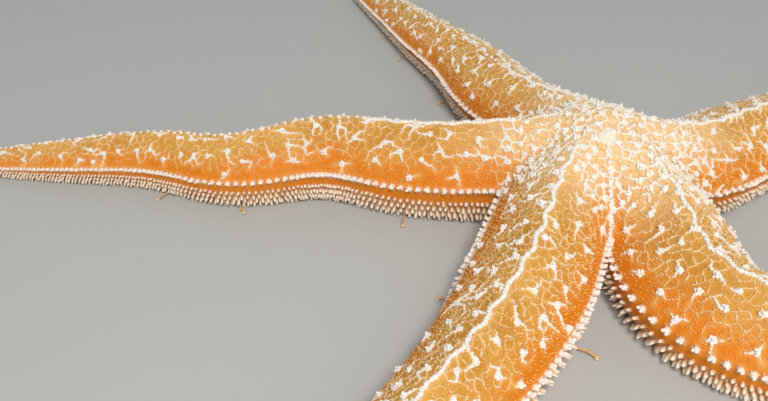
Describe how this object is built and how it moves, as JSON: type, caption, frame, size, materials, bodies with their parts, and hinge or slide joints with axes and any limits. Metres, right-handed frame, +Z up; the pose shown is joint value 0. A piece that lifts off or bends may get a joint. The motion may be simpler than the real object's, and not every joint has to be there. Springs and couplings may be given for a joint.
{
  "type": "sea star",
  "caption": "Long-armed orange sea star lying flat with bent arms, white blunt spines in rows and a pale network over its back, tube feet in the grooves below.",
  "frame": {"origin": "bottom centre of the animal's bounding box, on the floor that it lies on", "axes": "+Z up out of the floor, +X to the right and +Y away as the picture's camera looks at the animal; the left arm points along -X and the back arm along +Y"},
  "size_m": [0.4174, 0.386, 0.0376],
  "materials": {
    "skin": "soft spiny skin, orange with a white network",
    "sieve_plate": "pale porous plate",
    "mouth_skin": "soft pale skin",
    "end_plate": "pale blunt plate"
  },
  "bodies": {
    "root": {"disc": "skin", "mouth": "mouth_skin", "madreporite": "sieve_plate", "arm_left_base": "skin", "arm_left_middle": "skin", "arm_left_tip": "skin", "end_plate_left": "end_plate", "arm_front_left_base": "skin", "arm_front_left_middle": "skin", "arm_front_left_tip": "skin", "end_plate_front_left": "end_plate", "arm_front_right_base": "skin", "arm_front_right_middle": "skin", "arm_front_right_tip": "skin", "end_plate_front_right": "end_plate", "arm_right_base": "skin", "arm_right_middle": "skin", "arm_right_tip": "skin", "end_plate_right": "end_plate", "arm_back_base": "skin", "arm_back_middle": "skin", "arm_back_tip": "skin", "end_plate_back": "end_plate"}
  },
  "joints": []
}
